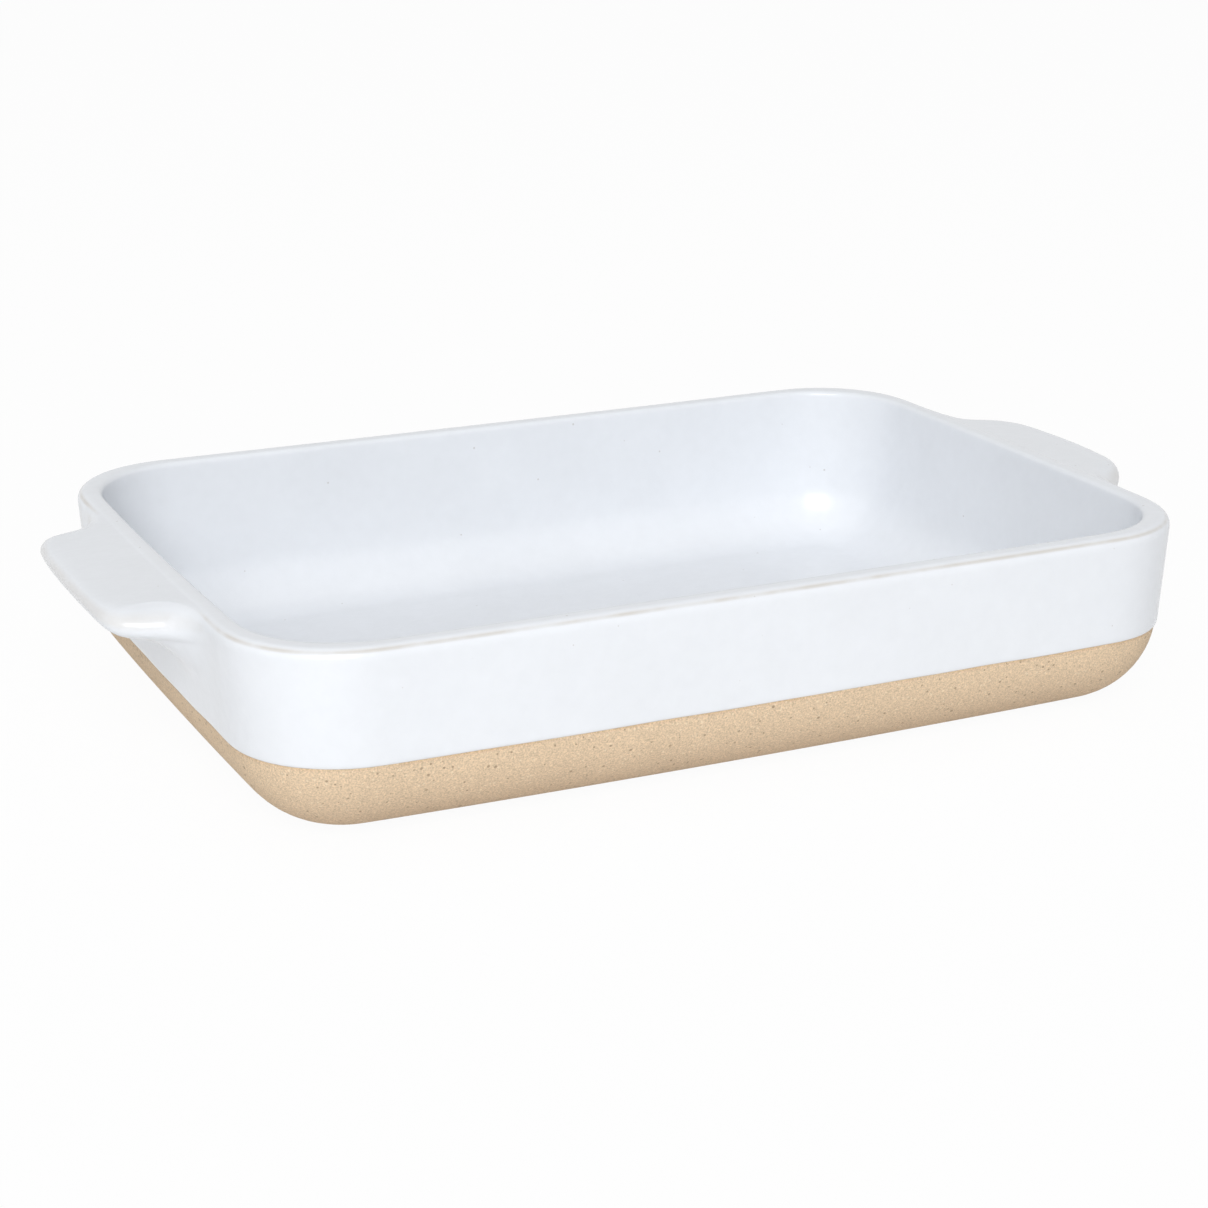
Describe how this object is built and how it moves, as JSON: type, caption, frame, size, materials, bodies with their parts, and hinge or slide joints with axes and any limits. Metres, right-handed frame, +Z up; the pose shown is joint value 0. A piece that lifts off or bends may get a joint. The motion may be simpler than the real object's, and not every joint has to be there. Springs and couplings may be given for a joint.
{
  "type": "lasagna dish",
  "caption": "Deep rectangular stoneware baking dish with a white glaze over bare clay and a lug handle at each end.",
  "frame": {"origin": "middle of the flat underside, on the surface that the dish stands on", "axes": "+Z up, out of the open top; +X along the dish's length, from one handle to the other; +Y across it"},
  "size_m": [0.3954, 0.2388, 0.067],
  "materials": {
    "fired_clay": "matt, bare speckled stoneware",
    "white_glaze": "satin gloss"
  },
  "bodies": {
    "root": {"stoneware_body": "fired_clay", "left_handle": "fired_clay", "right_handle": "fired_clay", "white_glaze": "white_glaze"}
  },
  "joints": []
}
